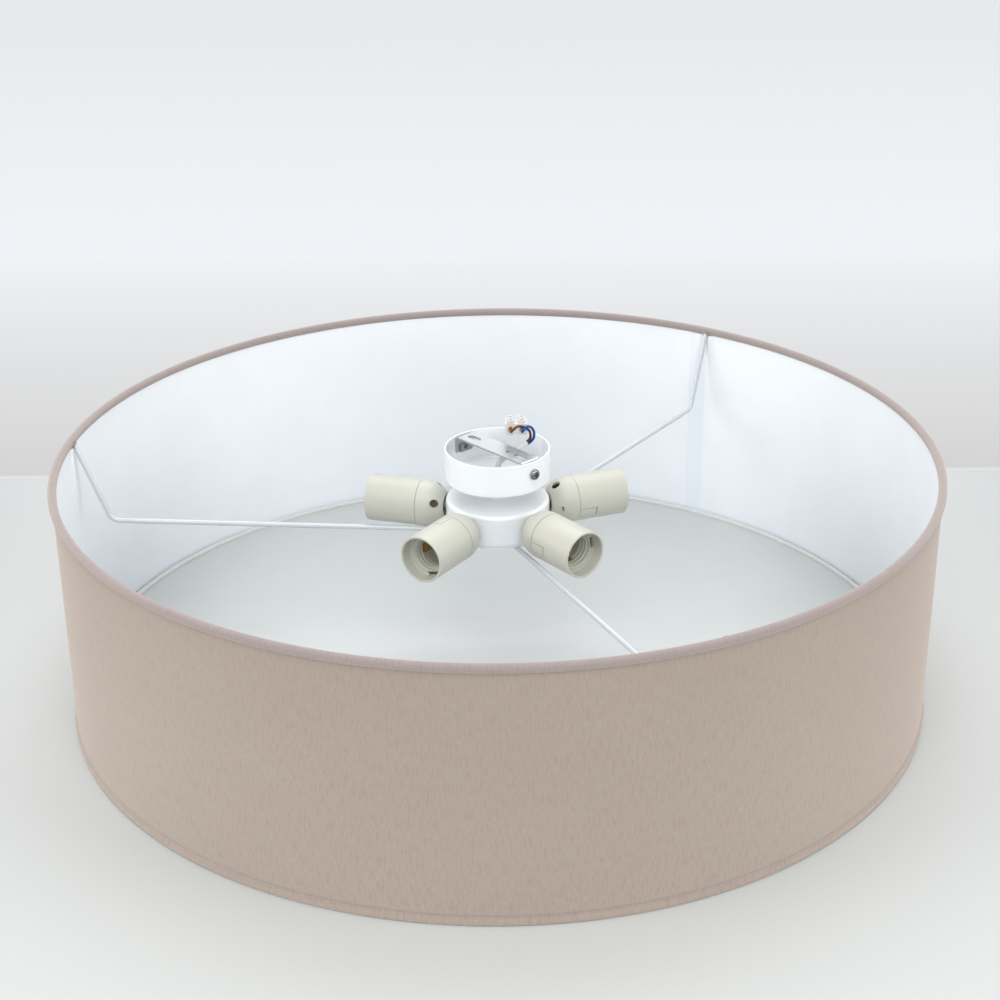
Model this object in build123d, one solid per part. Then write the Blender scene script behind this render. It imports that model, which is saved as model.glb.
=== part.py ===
from build123d import *
import math
import os

# A flush mount ceiling light: a fabric drum shade carried on three wire arms, a steel
# canopy and hub on one threaded stem, five lampholders round the hub and a loose
# white diffuser. Millimetres. Z=0 is the surface that the lower hem stands on and +Z
# points to the ceiling. The drum, the canopy, the hub and the stem share the Z axis,
# and the ceiling bracket lies along X.

# ---- clearances ----
running_clearance = 0.05      # radial, between a shaft and the hole it turns in
body_gap = 0.3                # between surfaces of two pieces that move apart
sheet_clearance = 0.25        # radial, round a fastener in a clearance hole

# ---- shade ----
shade_diameter = 700.0        # outside of the fabric wall
shade_height = 203.0          # standing surface to the top of the upper hem
cover_thickness = 0.8
liner_thickness = 0.8
ring_wire_radius = 2.0
hem_thickness = 1.4           # folded cloth round a ring wire
upper_hem_inset = 0.5         # fabric wall to the centre of the upper ring wire
lower_hem_inset = 2.0         # fabric wall to the centre of the lower ring wire
hem_flat_depth = 0.4          # the lower hem is pressed flat where it stands

# ---- spider: three welded arms on a centre ring ----
arm_count = 3
first_arm_azimuth = 102.3
arm_wire_radius = 2.1
arm_knee_inset = 29.0         # fabric wall to the knee where an arm turns up
arm_knee_radius = 9.0
arm_tip_inset = 2.6           # ring wire centre to the arm's tip, radially
arm_tip_drop = 1.0            # ring wire centre to the arm's tip, downwards
spider_ring_radius = 16.0
spider_ring_thickness = 4.8

# ---- diffuser ----
hoop_width = 5.0
hoop_height = 9.4
hoop_wall_gap = 1.4           # liner to the outside of the hoop
hoop_corner_radius = 2.2
panel_thickness = 2.0
panel_drop = 3.0              # top of the hoop to the top of the panel

# ---- canopy and ceiling bracket ----
canopy_radius = 42.3
canopy_height = 26.6
canopy_proud = 1.2            # top of the upper hem to the ceiling plane
canopy_wall = 1.2
canopy_edge_radius = 2.4
bracket_width = 18.3
bracket_thickness = 1.5
bracket_bend_radius = 1.6     # inside of the bend
bracket_tab_length = 14.0
fixing_slot_spacing = 54.0
fixing_slot_length = 13.0
fixing_slot_width = 5.2
earth_hole_radius = 2.1
earth_hole_offset = 13.0

# ---- screws through the side of the canopy ----
side_screw_radius = 1.95
side_screw_drop = 10.4        # ceiling plane to the screw axis
side_screw_head_radius = 4.25
side_screw_head_height = 2.6
side_screw_length = 8.0       # under the head
side_nut_width = 12.0
side_nut_height = 6.6
side_nut_thickness = 2.0

# ---- stem and what is threaded on it ----
stem_radius = 5.0
stem_bore_radius = 3.5
stem_above_nut = 0.8
stem_below_nut = 2.9
sleeve_wall = 1.5
sleeve_length = 16.4
lock_nut_flats = 14.0
canopy_nut_thickness = 3.5
hub_nut_thickness = 5.5
shade_washer_radius = 12.0
shade_washer_thickness = 1.5
shade_nut_flats = 17.0
shade_nut_thickness = 6.0
bush_flange_thickness = 0.7
bush_depth = 2.4

# ---- hub ----
hub_radius = 42.0
hub_height = 25.0
hub_wall = 1.5
hub_edge_radius = 3.0
base_plate_thickness = 3.4
base_plate_inset = 2.0
holder_rise = 12.5            # hub rim to the axis of the lampholders

# ---- lampholders ----
holder_count = 5
first_holder_azimuth = 67.5
holder_radius = 19.1
holder_standoff = 2.0         # hub wall to the dome
dome_length = 21.0
dome_wall = 2.0
dome_end_radius = 9.4         # flat end that faces the hub
end_recess_radius = 7.9
end_recess_depth = 2.0
boss_radius = 8.5
boss_length = 13.0
pocket_turn = 84.0            # round the dome, from the screw opening
pocket_length = 4.0
pocket_width = 4.5
pocket_depth = 1.5
collar_length = 6.0           # dome collar inside the shell
collar_wall = 2.4
shell_length = 43.0
shell_wall = 1.8
mouth_depth = 10.3            # skirt in front of the socket's face
socket_radius = 13.25         # root of the lamp thread
socket_length = 22.0
socket_wall = 1.95
socket_face_thickness = 1.5
block_length = 13.0
block_setback = 1.0           # contact block face to the socket's inner end
contact_thickness = 0.7
centre_contact_radius = 3.2
side_contact_width = 5.0
side_contact_depth = 2.6
dome_rolls = (100.0, 180.0, 24.0, 180.0, 0.0)   # how far each dome is screwed round
screw_opening_radius = 3.25   # in the dome, over the nipple screw
screw_opening_setback = 6.0   # from the dome's flat end
nipple_screw_radius = 1.5
nipple_screw_head_radius = 2.5
nipple_screw_head_height = 2.2
screw_slot_width = 0.7
screw_slot_depth = 0.9
nipple_inside_hub = 9.0
nipple_inside_dome = 12.0
holder_nut_thickness = 4.0

# ---- wiring ----
core_radius = 0.9             # single wires inside the hub
core_spread = 1.1             # wire centre to the middle of its bundle
core_turn_radius = 9.0
core_turn_place = 28.0        # stem axis to the corner of a link's route
feed_turn_radius = 6.0
stem_window_width = 7.0
stem_window_height = 10.4
cable_radius = 2.2
lead_radius = 1.1
lead_spread = 1.15            # lead centre to the middle of the cable's end
lead_start_run = 3.6
lead_entry_run = 6.6          # straight stretch in front of the terminal block
lead_grip = 5.0               # length held in the terminal block
terminal_turn = 47.0          # about Z, from the bracket to the terminal block
terminal_pitch = 9.0
terminal_width = 18.0
terminal_depth = 16.0
terminal_height = 9.4
terminal_chimney_radius = 3.0
terminal_chimney_height = 2.2
terminal_sleeve_radius = 2.6
terminal_sleeve_inset = 1.0
terminal_screw_radius = 1.5
terminal_screw_length = 4.5
terminal_screw_spacing = 7.0
corner_share = 0.45           # of the shorter run that an arc may use

# ---- levels, from the ceiling plane down ----
ceiling_z = shade_height + canopy_proud
canopy_base_z = ceiling_z - canopy_height
canopy_floor_z = canopy_base_z + canopy_wall
hub_top_z = canopy_base_z - sleeve_length
hub_rim_z = hub_top_z - hub_height
base_plate_z = hub_rim_z - base_plate_thickness
spider_z = base_plate_z - spider_ring_thickness
shade_washer_z = spider_z - shade_washer_thickness
shade_nut_z = shade_washer_z - shade_nut_thickness
stem_low_z = shade_nut_z - stem_below_nut
stem_top_z = canopy_floor_z + canopy_nut_thickness + stem_above_nut
holder_z = hub_rim_z + holder_rise
arm_z = spider_z + spider_ring_thickness / 2

# ---- places worked out from the sizes above ----
wall_radius = shade_diameter / 2
liner_outside = wall_radius - cover_thickness
liner_inside = liner_outside - liner_thickness
hem_radius = ring_wire_radius + hem_thickness
upper_wire = (wall_radius - upper_hem_inset, shade_height - hem_radius)
lower_wire = (wall_radius - lower_hem_inset, hem_radius - hem_flat_depth)
hoop_outside = liner_inside - hoop_wall_gap
hoop_reach = lower_wire[0] - hoop_outside
hoop_z = lower_wire[1] + math.sqrt((hem_radius + body_gap) ** 2 - hoop_reach ** 2)
hoop_top_z = hoop_z + hoop_height

dome_end_x = hub_radius + holder_standoff
dome_rim_x = dome_end_x + dome_length
dome_centre_x = dome_end_x + math.sqrt(holder_radius ** 2 - dome_end_radius ** 2)
shell_start_x = dome_rim_x + body_gap
shell_end_x = shell_start_x + shell_length
socket_face_x = shell_end_x - mouth_depth
socket_inner_x = socket_face_x - socket_length
skirt_inside = holder_radius - shell_wall
collar_outside = skirt_inside - body_gap
block_radius = collar_outside - collar_wall
block_face_x = socket_inner_x - block_setback
block_back_x = block_face_x - block_length
seat_x = dome_rim_x - collar_wall
nipple_x = hub_radius - nipple_inside_hub
nipple_end_x = dome_end_x + nipple_inside_dome
turning_bore = stem_radius + running_clearance


# ---- shapes that repeat ----
def tube(outside, inside, low, high):
    """Ring or tube round the Z axis."""
    return Pos(0, 0, low) * extrude(Circle(outside) - Circle(inside), high - low)


def turned_about_z(profile):
    """Solid of revolution from a profile whose x is the radius and y the height."""
    return revolve(Plane.XZ * profile, Axis.Z)


def turned_about_x(profile):
    """Solid of revolution from a profile whose x runs outwards and y is the radius."""
    return revolve(profile, Axis.X)


def closed_shape(*points):
    """Flat shape with straight sides through the points."""
    return make_face(Polyline(*points, close=True))


def box_shape(low_x, high_x, low_y, high_y):
    """Rectangle between two pairs of limits."""
    return closed_shape((low_x, low_y), (high_x, low_y), (high_x, high_y), (low_x, high_y))


def nut(flats, bore, thickness):
    """Hexagon nut on the Z axis, standing on Z=0."""
    return extrude(RegularPolygon(flats / 2, 6, major_radius=False) - Circle(bore), thickness)


def along_x(part, start):
    """Turns a part made up from Z=0 so that it runs outwards from x=start."""
    return Pos(start, 0, 0) * Rot(0, 90, 0) * part


def rod_x(radius, start, end, y=0.0, z=0.0):
    """Round bar along X."""
    return Pos(0, y, z) * along_x(extrude(Circle(radius), end - start), start)


def swept_rod(path, radius):
    """Round bar along a path."""
    return sweep(Plane(origin=path @ 0, z_dir=path % 0) * Circle(radius), path=path)


def at_holder(part, number):
    """Moves a part from the X axis to one of the lampholder places."""
    azimuth = first_holder_azimuth + number * 360 / holder_count
    return Rot(0, 0, azimuth) * Pos(0, 0, holder_z) * part


def corner_radii(route):
    """Arc radius at each corner of a cord's route."""
    radii = []
    for before, corner, after in zip(route, route[1:], route[2:]):
        arriving = Vector(*corner) - Vector(*before)
        leaving = Vector(*after) - Vector(*corner)
        shorter = min(arriving.length, leaving.length)
        half_turn = math.radians(arriving.get_angle(leaving) / 2)
        radii.append(corner_share * shorter / math.tan(half_turn))
    return radii


def cord(name, route, radius):
    """Cord's tube: straight runs joined by tangent arcs."""
    radii = corner_radii(route)
    path = FilletPolyline(*route, radius=radii)
    solid = swept_rod(path, radius)
    expected = math.pi * radius ** 2 * path.length
    rounded = [round(value, 1) for value in radii]
    print(f"{name}: length {path.length:.1f} mm, radii {rounded}, "
          f"volume over section times length {solid.volume / expected:.4f}")
    return solid


def save(part, node):
    """Writes one node's solids."""
    part.label = node
    export_step(part, f"parts/{node}.step")


# ---- shade ----
def ring_wire(centre):
    """Steel ring inside a hem."""
    return turned_about_z(Pos(*centre) * Circle(ring_wire_radius))


def hem_outline(centre):
    """Section of a rolled hem, cut off at the standing surface."""
    above_surface = box_shape(0, 2 * wall_radius, 0, 2 * shade_height)
    return (Pos(*centre) * Circle(hem_radius)) & above_surface


def hem(centre):
    """Cloth rolled round a ring wire."""
    return turned_about_z(hem_outline(centre) - Pos(*centre) * Circle(ring_wire_radius))


def wall(outside, inside):
    """Drum wall from one hem to the other."""
    strip = box_shape(inside, outside, lower_wire[1], upper_wire[1])
    return turned_about_z(strip - hem_outline(upper_wire) - hem_outline(lower_wire))


def arm_route():
    """Centre line of a spider arm, from inside the centre ring to the upper ring wire."""
    knee = wall_radius - arm_knee_inset
    tip = (upper_wire[0] - arm_tip_inset, 0, upper_wire[1] - arm_tip_drop)
    return [(spider_ring_radius - 1, 0, arm_z), (knee, 0, arm_z), tip]


def arm(radius):
    """Arm of a given thickness along the X azimuth."""
    return swept_rod(FilletPolyline(*arm_route(), radius=arm_knee_radius), radius)


def arm_azimuth(number):
    return first_arm_azimuth + number * 360 / arm_count


def spider_ring():
    return tube(spider_ring_radius, turning_bore, spider_z, base_plate_z)


def build_shade():
    upper_ring = ring_wire(upper_wire)
    centre_ring = spider_ring()
    notched_hem = hem(upper_wire)
    welded_arm = arm(arm_wire_radius) - upper_ring - centre_ring
    notch = arm(arm_wire_radius + body_gap)
    for number in range(arm_count):
        turn = Rot(0, 0, arm_azimuth(number))
        notched_hem = notched_hem - turn * notch
        save(turn * welded_arm, f"spider_arm_{number + 1}")
    save(notched_hem, "upper_hem")
    save(hem(lower_wire), "lower_hem")
    save(upper_ring, "upper_ring_wire")
    save(ring_wire(lower_wire), "lower_ring_wire")
    save(centre_ring, "spider_ring")
    save(wall(wall_radius, liner_outside), "shade_cover")
    save(wall(liner_outside, liner_inside), "shade_liner")


# ---- diffuser ----
def build_diffuser():
    section = box_shape(hoop_outside - hoop_width, hoop_outside, hoop_z, hoop_top_z)
    top_corners = section.vertices().group_by(Axis.Y)[-1]
    save(turned_about_z(fillet(top_corners, hoop_corner_radius)), "diffuser_hoop")
    panel_top = hoop_top_z - panel_drop
    panel = extrude(Circle(hoop_outside - hoop_width), panel_thickness)
    save(Pos(0, 0, panel_top - panel_thickness) * panel, "diffuser_panel")


# ---- canopy, bracket and side screws ----
def side_screw_axis_z():
    return ceiling_z - side_screw_drop


def build_canopy():
    cup = extrude(Circle(canopy_radius), canopy_height)
    cup = fillet(cup.edges().group_by(Axis.Z)[0], canopy_edge_radius)
    inner_edge = canopy_edge_radius - canopy_wall
    hollow = extrude(Circle(canopy_radius - canopy_wall), canopy_height)
    hollow = fillet(hollow.edges().group_by(Axis.Z)[0], inner_edge)
    cup = Pos(0, 0, canopy_base_z) * (cup - Pos(0, 0, canopy_wall) * hollow)
    cup = cup - Pos(0, 0, canopy_base_z) * extrude(Circle(turning_bore), canopy_height)
    drill = rod_x(side_screw_radius + sheet_clearance, -canopy_radius - 1, canopy_radius + 1)
    save(cup - Pos(0, 0, side_screw_axis_z()) * drill, "canopy")


def bracket_reach():
    """Stem axis to the outer face of a bracket tab, inside the canopy."""
    inside = canopy_radius - canopy_wall - body_gap
    return math.sqrt(inside ** 2 - (bracket_width / 2) ** 2)


def bracket_profile():
    """Side view of the strap: flat top with both ends bent down."""
    reach = bracket_reach()
    low = ceiling_z - bracket_tab_length
    under = ceiling_z - bracket_thickness
    inner = reach - bracket_thickness
    strap = box_shape(-reach, reach, low, ceiling_z)
    strap = fillet(strap.vertices().group_by(Axis.Y)[-1], bracket_bend_radius + bracket_thickness)
    core = box_shape(-inner, inner, low, under)
    core = fillet(core.vertices().group_by(Axis.Y)[-1], bracket_bend_radius)
    return strap - core


def build_bracket():
    strap = extrude(Plane.XZ * bracket_profile(), bracket_width / 2, both=True)
    slot = extrude(SlotOverall(fixing_slot_length, fixing_slot_width), bracket_thickness * 2)
    for side in (-1, 1):
        place = Pos(side * fixing_slot_spacing / 2, 0, ceiling_z - 1.5 * bracket_thickness)
        strap = strap - place * slot
    earth_hole = extrude(Circle(earth_hole_radius), bracket_thickness * 2)
    strap = strap - Pos(earth_hole_offset, 0, ceiling_z - 1.5 * bracket_thickness) * earth_hole
    tapped = rod_x(side_screw_radius + running_clearance, -canopy_radius, canopy_radius)
    save(strap - Pos(0, 0, side_screw_axis_z()) * tapped, "ceiling_bracket")


def side_screw():
    """Pan head screw through the canopy wall on the X axis, with a cross recess."""
    under_head = canopy_radius + body_gap
    head_end = under_head + side_screw_head_height
    head = along_x(extrude(Circle(side_screw_head_radius), side_screw_head_height), under_head)
    head = fillet(head.edges().group_by(Axis.X)[-1], side_screw_head_height * 0.6)
    shank = rod_x(side_screw_radius, under_head - side_screw_length, under_head)
    recess_width = side_screw_head_radius / 4
    recess_length = side_screw_head_radius * 1.1
    recess_depth = side_screw_head_height / 2
    recess = Box(recess_depth * 2, recess_width, recess_length)
    recess = recess + Box(recess_depth * 2, recess_length, recess_width)
    return head + shank - Pos(head_end, 0, 0) * recess


def build_side_screws():
    hole = Circle(side_screw_radius + running_clearance)
    welded_nut = extrude(Rectangle(side_nut_height, side_nut_width) - hole, side_nut_thickness)
    nut_x = bracket_reach() - bracket_thickness - side_nut_thickness
    nuts = []
    for number in range(2):
        turn = Rot(0, 0, 180 * number) * Pos(0, 0, side_screw_axis_z())
        save(turn * side_screw(), f"canopy_screw_{number + 1}")
        nuts.append(turn * along_x(welded_nut, nut_x))
    save(Compound(children=nuts), "bracket_nuts")


# ---- stem, sleeve, nuts and hub ----
def stem_window():
    """Side opening of the stem where the feed wires turn out to the first lampholder."""
    opening = Pos(stem_radius, 0, 0) * Box(2 * stem_radius, stem_window_width, stem_window_height)
    return at_holder(opening, 0)


def build_stem():
    stem = tube(stem_radius, stem_bore_radius, stem_low_z, stem_top_z)
    save(stem - stem_window(), "stem_tube")
    save(tube(stem_radius + running_clearance + sleeve_wall, turning_bore, hub_top_z, canopy_base_z),
         "stem_sleeve")
    canopy_nut = Pos(0, 0, canopy_floor_z) * nut(lock_nut_flats, turning_bore, canopy_nut_thickness)
    hub_nut = nut(lock_nut_flats, turning_bore, hub_nut_thickness)
    upper_nut = Pos(0, 0, hub_top_z - hub_wall - hub_nut_thickness) * hub_nut
    lower_nut = Pos(0, 0, hub_rim_z) * hub_nut
    save(Compound(children=[canopy_nut, upper_nut, lower_nut]), "stem_lock_nuts")
    flange = tube(stem_radius, cable_radius, stem_top_z, stem_top_z + bush_flange_thickness)
    throat = tube(stem_bore_radius, cable_radius, stem_top_z - bush_depth, stem_top_z)
    save(flange + throat, "cable_bush")


def build_hub():
    cup = extrude(Circle(hub_radius), hub_height)
    cup = fillet(cup.edges().group_by(Axis.Z)[-1], hub_edge_radius)
    hollow = extrude(Circle(hub_radius - hub_wall), hub_height - hub_wall)
    hollow = fillet(hollow.edges().group_by(Axis.Z)[-1], hub_edge_radius - hub_wall)
    cup = Pos(0, 0, hub_rim_z) * (cup - hollow)
    cup = cup - Pos(0, 0, hub_rim_z) * extrude(Circle(turning_bore), hub_height)
    for number in range(holder_count):
        cup = cup - at_holder(rod_x(turning_bore, hub_radius / 2, hub_radius + 1), number)
    save(cup, "hub_body")
    plate_radius = hub_radius - base_plate_inset
    save(tube(plate_radius, turning_bore, base_plate_z, hub_rim_z), "hub_base_plate")


def build_shade_nut():
    save(tube(shade_washer_radius, turning_bore, shade_washer_z, spider_z), "shade_washer")
    save(Pos(0, 0, shade_nut_z) * nut(shade_nut_flats, turning_bore, shade_nut_thickness), "shade_nut")


# ---- lampholders, each made along X and turned to its place ----
def dome_profile():
    """Half section of the dome: round end, boss for the nipple and collar for the shell."""
    inside = holder_radius - dome_wall
    centre = (dome_centre_x, 0)
    outer_end = math.degrees(math.acos((dome_end_x - dome_centre_x) / holder_radius))
    inner_end = math.degrees(math.asin(boss_radius / inside))
    outer_arc = CenterArc(centre, holder_radius, 90, outer_end - 90)
    inner_arc = CenterArc(centre, inside, 90, 90 - inner_end)
    collar_end = dome_rim_x + collar_length
    rim = Polyline(outer_arc @ 0, (dome_rim_x, holder_radius), (dome_rim_x, collar_outside),
                   (collar_end, collar_outside), (collar_end, block_radius),
                   (seat_x, block_radius), (seat_x, inside), inner_arc @ 0)
    boss_end = dome_end_x + boss_length
    recess_end = dome_end_x + end_recess_depth
    boss = Polyline(inner_arc @ 1, (boss_end, boss_radius), (boss_end, turning_bore),
                    (recess_end, turning_bore), (recess_end, end_recess_radius),
                    (dome_end_x, end_recess_radius), outer_arc @ 1)
    return make_face(outer_arc.edges() + rim.edges() + inner_arc.edges() + boss.edges())


def nipple_screw_x():
    return dome_end_x + screw_opening_setback


def dome_pocket():
    """Shallow pocket beside the screw opening."""
    surface_radius = math.sqrt(holder_radius ** 2 - (dome_centre_x - nipple_screw_x()) ** 2)
    pocket = Box(pocket_length, pocket_width, 2 * pocket_depth)
    return Rot(pocket_turn, 0, 0) * Pos(nipple_screw_x(), surface_radius, 0) * Rot(90, 0, 0) * pocket


def dome():
    solid = turned_about_x(dome_profile()) - dome_pocket()
    opening = Pos(0, 0, boss_radius) * extrude(Circle(screw_opening_radius), holder_radius)
    tapped = extrude(Circle(nipple_screw_radius), holder_radius)
    return solid - Pos(nipple_screw_x(), 0, 0) * Rot(-90, 0, 0) * (opening + tapped)


def nipple_screw():
    """Slotted screw that locks the dome on its nipple."""
    shank = Pos(0, 0, stem_radius) * extrude(Circle(nipple_screw_radius), boss_radius - stem_radius)
    head_top = boss_radius + nipple_screw_head_height
    head = Pos(0, 0, boss_radius) * extrude(Circle(nipple_screw_head_radius), nipple_screw_head_height)
    slot = Box(2 * nipple_screw_head_radius, screw_slot_width, 2 * screw_slot_depth)
    screw = shank + head - Pos(0, 0, head_top) * slot
    return Pos(nipple_screw_x(), 0, 0) * Rot(-90, 0, 0) * screw


def shell():
    """Skirt with the lamp socket moulded inside it."""
    socket_outside = socket_radius + socket_wall
    web_x = socket_face_x - socket_face_thickness
    profile = closed_shape(
        (shell_start_x, holder_radius), (shell_end_x, holder_radius),
        (shell_end_x, skirt_inside), (socket_face_x, skirt_inside),
        (socket_face_x, socket_radius), (socket_inner_x, socket_radius),
        (socket_inner_x, socket_outside), (web_x, socket_outside),
        (web_x, skirt_inside), (shell_start_x, skirt_inside))
    return turned_about_x(profile)


def side_contact():
    """Brass plate near the edge of the contact block."""
    depth = socket_radius - side_contact_depth / 2 - 1
    plate = Box(contact_thickness, side_contact_width, side_contact_depth)
    return Pos(block_face_x + contact_thickness / 2, 0, depth) * plate


def build_lampholders():
    nipple = along_x(tube(stem_radius, stem_bore_radius, 0, nipple_end_x - nipple_x), nipple_x)
    inside_hub = math.sqrt((hub_radius - hub_wall) ** 2 - (lock_nut_flats / math.sqrt(3)) ** 2)
    holder_nut = nut(lock_nut_flats, stem_radius, holder_nut_thickness)
    holder_nut = along_x(holder_nut, inside_hub - holder_nut_thickness)
    block = rod_x(block_radius, block_back_x, block_face_x)
    centre_contact = rod_x(centre_contact_radius, block_face_x, block_face_x + contact_thickness)
    shared = {"holder_nipples": nipple, "holder_nuts": holder_nut,
              "centre_contacts": centre_contact, "side_contacts": side_contact()}
    for node, part in shared.items():
        copies = [at_holder(part, number) for number in range(holder_count)]
        save(Compound(children=copies), node)
    screws = []
    for number in range(holder_count):
        roll = Rot(dome_rolls[number], 0, 0)
        save(at_holder(roll * dome(), number), f"lampholder_dome_{number + 1}")
        save(at_holder(shell(), number), f"lampholder_shell_{number + 1}")
        save(at_holder(block, number), f"contact_block_{number + 1}")
        screws.append(at_holder(roll * nipple_screw(), number))
    save(Compound(children=screws), "nipple_screws")


# ---- wiring inside the hub ----
def link_wire(number, level):
    """Wire from one lampholder's contact block to the next one's."""
    ends = []
    for step, side in ((0, core_spread), (1, -core_spread)):
        azimuth = Rot(0, 0, first_holder_azimuth + (number + step) * 360 / holder_count)
        for place in (block_back_x, core_turn_place):
            ends.append(tuple((azimuth * Pos(place, side, holder_z + level)).position))
    route = [ends[0], ends[1], ends[3], ends[2]]
    return swept_rod(FilletPolyline(*route, radius=core_turn_radius), core_radius)


def feed_wire(level):
    """Wire from the supply cable in the stem to the first lampholder."""
    top = stem_cable_end() - holder_z
    route = [(level, -core_spread, top), (level, -core_spread, level), (block_back_x, -core_spread, level)]
    turn = feed_turn_radius - level
    return at_holder(swept_rod(FilletPolyline(*route, radius=turn), core_radius), 0)


def stem_cable_end():
    """Level where the sheath of the supply cable is cut back inside the stem."""
    return hub_top_z


def build_hub_wiring():
    for node, level in (("live_links", core_spread), ("neutral_links", -core_spread)):
        wires = [feed_wire(level)]
        wires += [link_wire(number, level) for number in range(holder_count - 1)]
        save(Compound(children=wires), node)
    cable_face_z = stem_top_z + bush_flange_thickness
    held_cable = Pos(0, 0, stem_cable_end()) * extrude(Circle(cable_radius), cable_face_z - stem_cable_end())
    save(held_cable, "stem_cable")


# ---- supply cable, its two leads and the terminal block above the canopy ----
def above_stem(*points):
    """Route points given from the stem's top face."""
    return [(x, y, stem_top_z + bush_flange_thickness + z) for x, y, z in points]


cable_route = above_stem(
    (0, 0, 0), (0, 0, 4.0), (1.0, 2.6, 8.1), (3.7, 8.6, 12.2), (6.2, 16.0, 16.1), (9.1, 24.4, 19.8))
live_bends = above_stem(
    (11.4, 26.2, 27.0), (15.1, 21.5, 33.3), (16.2, 13.9, 38.9), (15.4, 8.0, 40.9), (13.7, 3.9, 37.9))
neutral_bends = above_stem(
    (13.3, 28.6, 24.9), (16.6, 25.0, 32.1), (19.3, 19.2, 38.1), (20.0, 13.6, 40.5), (19.5, 10.4, 37.5))
terminal_corner = above_stem((1.6, 7.1, 33.9))[0]


def terminal_place(along, depth, height=0.0):
    """Point of the terminal block: along its row of poles, into its holes, upwards."""
    local = Location(terminal_corner, (0, 0, terminal_turn)) * Pos(along, depth, height)
    return tuple(local.position)


def pole_offset(pole):
    """Place of a pole along the terminal block."""
    return terminal_width / 2 + (pole - 0.5) * terminal_pitch


def lead_route(side, bends, pole):
    """Lead from the end of the cable sheath to the middle of its pole."""
    end = Vector(*cable_route[-1])
    heading = (end - Vector(*cable_route[-2])).normalized()
    level_way = heading.cross(Vector(0, 0, 1)).normalized()
    start = end + level_way.cross(heading) * side * lead_spread
    first = start + heading * lead_start_run
    entry = [terminal_place(pole_offset(pole), depth) for depth in (-lead_entry_run, lead_grip)]
    return [tuple(start), tuple(first)] + bends + entry


def block_frame(part):
    """Moves a part from the terminal block's own axes to its place."""
    return Location(terminal_corner, (0, 0, terminal_turn)) * part


def build_supply():
    save(cord("supply_cable", cable_route, cable_radius), "supply_cable")
    save(cord("live_lead", lead_route(1, live_bends, 0), lead_radius), "live_lead")
    save(cord("neutral_lead", lead_route(-1, neutral_bends, 1), lead_radius), "neutral_lead")


def build_terminal_block():
    middle = Pos(terminal_width / 2, terminal_depth / 2, 0)
    body = middle * Box(terminal_width, terminal_depth, terminal_height)
    sleeves = []
    screws = []
    for pole in (0, 1):
        bore = Pos(pole_offset(pole), 0, 0) * Rot(-90, 0, 0)
        hollow_length = terminal_depth - 2 * terminal_sleeve_inset
        sleeve = Circle(terminal_sleeve_radius) - Circle(lead_radius)
        sleeve = Pos(0, 0, terminal_sleeve_inset) * extrude(sleeve, hollow_length)
        sleeve = bore * sleeve
        body = body - bore * extrude(Circle(terminal_sleeve_radius), terminal_depth)
        for side in (-0.5, 0.5):
            place = Pos(pole_offset(pole), terminal_depth / 2 + side * terminal_screw_spacing, 0)
            rise = terminal_height / 2 + terminal_chimney_height
            chimney = place * extrude(Circle(terminal_chimney_radius), rise)
            shaft = place * extrude(Circle(terminal_screw_radius), rise)
            body = body + (chimney - bore * extrude(Circle(terminal_sleeve_radius), terminal_depth))
            body = body - shaft
            sleeve = sleeve - shaft
            screw = Pos(0, 0, lead_radius) * extrude(Circle(terminal_screw_radius), terminal_screw_length)
            slot = Box(3 * terminal_screw_radius, screw_slot_width, 2 * screw_slot_depth)
            slot = Pos(0, 0, lead_radius + terminal_screw_length) * slot
            screws.append(block_frame(place * (screw - slot)))
        sleeves.append(block_frame(sleeve))
    save(block_frame(body), "terminal_block")
    save(Compound(children=sleeves), "terminal_sleeves")
    save(Compound(children=screws), "terminal_screws")


os.makedirs("parts", exist_ok=True)
build_shade()
build_diffuser()
build_canopy()
build_bracket()
build_side_screws()
build_stem()
build_hub()
build_shade_nut()
build_lampholders()
build_hub_wiring()
build_supply()
build_terminal_block()
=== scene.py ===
import math
import random

import bmesh
import bpy
from mathutils import Matrix, Vector, noise


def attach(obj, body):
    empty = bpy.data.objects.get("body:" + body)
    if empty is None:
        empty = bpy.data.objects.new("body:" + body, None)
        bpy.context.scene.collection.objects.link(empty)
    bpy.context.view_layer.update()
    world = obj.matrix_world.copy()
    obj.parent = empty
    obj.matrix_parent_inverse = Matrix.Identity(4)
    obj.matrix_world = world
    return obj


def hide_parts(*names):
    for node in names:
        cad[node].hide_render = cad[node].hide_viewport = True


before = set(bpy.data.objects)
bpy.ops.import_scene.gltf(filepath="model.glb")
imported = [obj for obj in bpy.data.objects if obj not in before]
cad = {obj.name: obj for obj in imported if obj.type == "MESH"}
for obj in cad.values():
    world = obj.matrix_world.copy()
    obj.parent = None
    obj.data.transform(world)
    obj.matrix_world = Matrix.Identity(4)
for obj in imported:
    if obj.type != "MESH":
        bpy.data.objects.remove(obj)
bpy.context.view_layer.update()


# ---- The view ----
# The camera stands in front of the drum, a little over a metre and a half away and looking
# down into it. The photograph's own axes are turned 47 degrees from the bracket's.
photo_turn = math.radians(47)
to_right = Vector((math.cos(photo_turn), math.sin(photo_turn), 0))
to_back = Vector((-math.sin(photo_turn), math.cos(photo_turn), 0))
camera_distance = 1.38705
camera_height = 0.789
camera_pitch = math.radians(24.4732)
camera_heading = math.radians(-0.0785)
camera_roll = math.radians(-0.4715)
camera_lens = 67.61

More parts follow.
